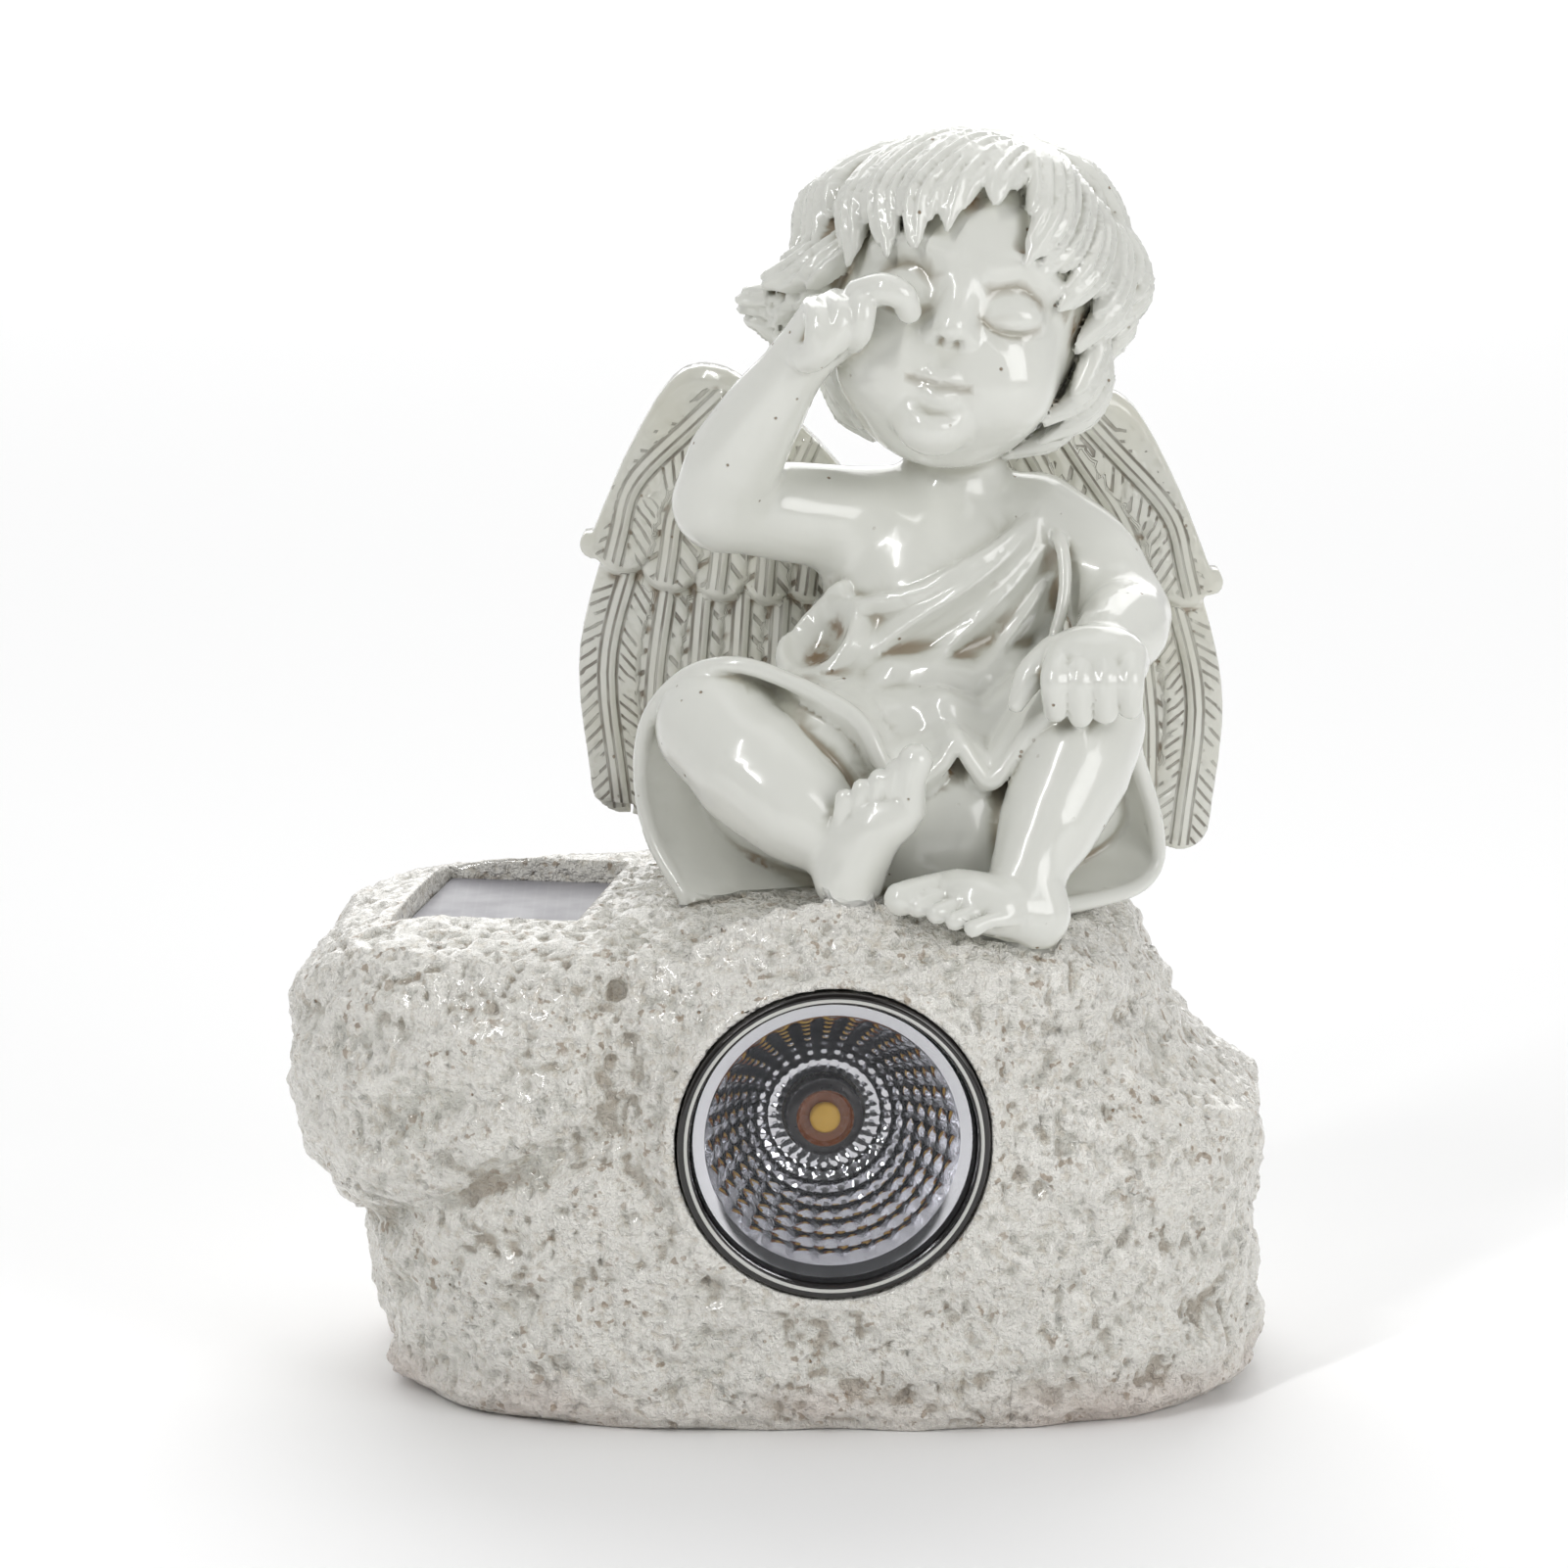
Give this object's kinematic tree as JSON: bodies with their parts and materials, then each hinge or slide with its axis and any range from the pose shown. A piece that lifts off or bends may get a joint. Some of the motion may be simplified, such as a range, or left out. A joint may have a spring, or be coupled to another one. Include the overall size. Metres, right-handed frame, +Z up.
{
  "type": "resin angel statue with a solar garden lamp",
  "caption": "Cast resin garden ornament: a seated child angel rubbing one eye, on a rock with a solar panel and a round lamp let into it.",
  "frame": {"origin": "on the ground, under the middle of the whole ornament", "axes": "+Z up, the figure and the lamp face -Y, +X is the viewer's right"},
  "size_m": [0.1633, 0.1116, 0.2072],
  "materials": {
    "glazed_resin": "off-white glazed resin, brown wash in the crevices and pinholes",
    "solar_cell": "satin lavender-grey solar cell under clear resin",
    "dark_trim": "polished near-black ring",
    "clear_plastic": "clear moulded plastic lens",
    "bright_plating": "vacuum-plated faceted reflector",
    "black_plastic": "black moulded plastic",
    "phosphor": "yellow phosphor of the LED"
  },
  "bodies": {
    "root": {"angel_and_rock_casting": "glazed_resin", "solar_panel": "solar_cell", "lamp_bezel": "dark_trim", "lamp_lens": "clear_plastic", "lamp_reflector": "bright_plating", "led_holder": "black_plastic", "led_chip": "phosphor"}
  },
  "joints": []
}
